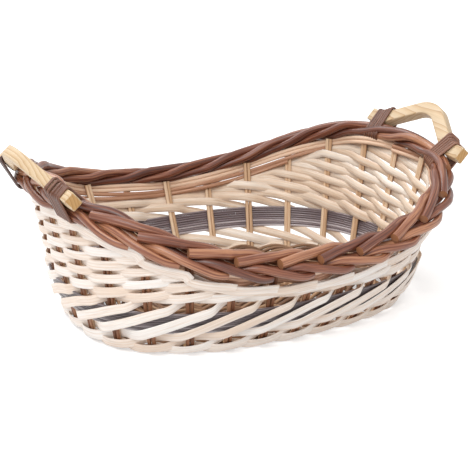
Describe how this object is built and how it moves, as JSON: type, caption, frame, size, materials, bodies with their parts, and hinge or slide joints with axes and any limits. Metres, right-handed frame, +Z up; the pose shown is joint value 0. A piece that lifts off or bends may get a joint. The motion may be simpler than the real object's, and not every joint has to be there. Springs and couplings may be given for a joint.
{
  "type": "trug garden basket",
  "caption": "Low oval garden basket of woven split willow with a plaited brown border and a bow handle of pale wood tied on at each end.",
  "frame": {"origin": "centre of the basket's flat underside, on the surface it stands on", "axes": "+X along the basket towards its right handle, +Y towards the back, +Z up; the basket is seen from -Y"},
  "size_m": [0.4387, 0.3399, 0.1745],
  "materials": {
    "peeled_willow": "satin",
    "stake_willow": "satin",
    "border_willow": "satin",
    "band_willow": "gloss",
    "packing_willow": "satin",
    "base_willow": "satin",
    "base_stick_willow": "satin",
    "handle_pine": "satin",
    "dark_cane": "gloss"
  },
  "bodies": {
    "root": {"stake_pair_01": "stake_willow", "stake_pair_02": "stake_willow", "stake_pair_03": "stake_willow", "stake_pair_04": "stake_willow", "stake_pair_05": "stake_willow", "stake_pair_06": "stake_willow", "stake_pair_07": "stake_willow", "stake_pair_08": "stake_willow", "stake_pair_09": "stake_willow", "stake_pair_10": "stake_willow", "stake_pair_11": "stake_willow", "stake_pair_12": "stake_willow", "stake_pair_13": "stake_willow", "stake_pair_14": "stake_willow", "stake_pair_15": "stake_willow", "stake_pair_16": "stake_willow", "stake_pair_17": "stake_willow", "stake_pair_18": "stake_willow", "stake_pair_19": "stake_willow", "stake_pair_20": "stake_willow", "stake_pair_21": "stake_willow", "stake_pair_22": "stake_willow", "stake_pair_23": "stake_willow", "stake_pair_24": "stake_willow", "stake_pair_25": "stake_willow", "stake_pair_26": "stake_willow", "border_rod_01": "border_willow", "border_rod_02": "border_willow", "border_rod_03": "border_willow", "border_rod_04": "border_willow", "border_rod_05": "border_willow", "border_rod_06": "border_willow", "border_rod_07": "border_willow", "border_rod_08": "border_willow", "border_rod_09": "border_willow", "border_rod_10": "border_willow", "border_rod_11": "border_willow", "border_rod_12": "border_willow", "border_rod_13": "border_willow", "border_rod_14": "border_willow", "border_rod_15": "border_willow", "border_rod_16": "border_willow", "border_rod_17": "border_willow", "border_rod_18": "border_willow", "border_rod_19": "border_willow", "border_rod_20": "border_willow", "border_rod_21": "border_willow", "border_rod_22": "border_willow", "border_rod_23": "border_willow", "border_rod_24": "border_willow", "border_rod_25": "border_willow", "border_rod_26": "border_willow", "willow_chips": "peeled_willow", "band_rods": "band_willow", "packing_rods": "packing_willow", "base_mat": "base_willow", "base_sticks": "base_stick_willow", "handle_right": "handle_pine", "handle_left": "handle_pine", "handle_bindings": "dark_cane"}
  },
  "joints": []
}
